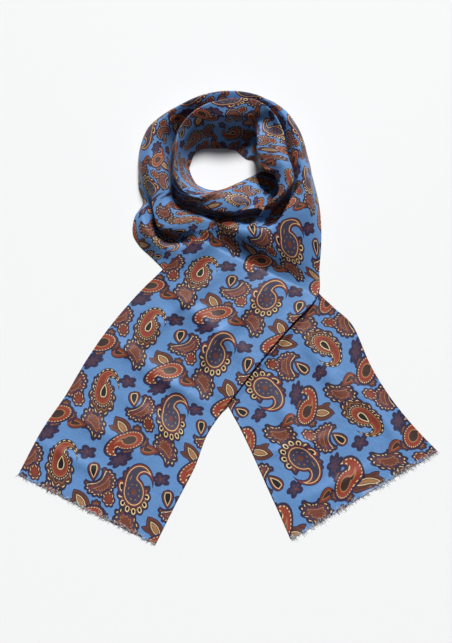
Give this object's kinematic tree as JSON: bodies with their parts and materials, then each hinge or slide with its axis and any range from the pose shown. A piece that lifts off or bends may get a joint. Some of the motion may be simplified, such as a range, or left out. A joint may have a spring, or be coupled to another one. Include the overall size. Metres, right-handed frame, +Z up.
{
  "type": "silk scarf",
  "caption": "Long silk neck scarf laid flat, gathered into a single loop with its fringed ends crossing in front.",
  "frame": {"origin": "middle of the scarf's bounding box at table level, where the cloth rests", "axes": "+Z up from the table, +Y from the fringed ends towards the neck loop, +X to the right as seen from the ends"},
  "size_m": [0.6805, 0.7822, 0.0628],
  "materials": {
    "silk": "blue silk twill with a small paisley print, soft sheen",
    "fringe_silk": "loose silk threads, printed as the cloth beside them"
  },
  "bodies": {
    "root": {"front_leg": "silk", "neck_loop": "silk", "back_leg": "silk", "front_fringe": "fringe_silk", "back_fringe": "fringe_silk"}
  },
  "joints": []
}
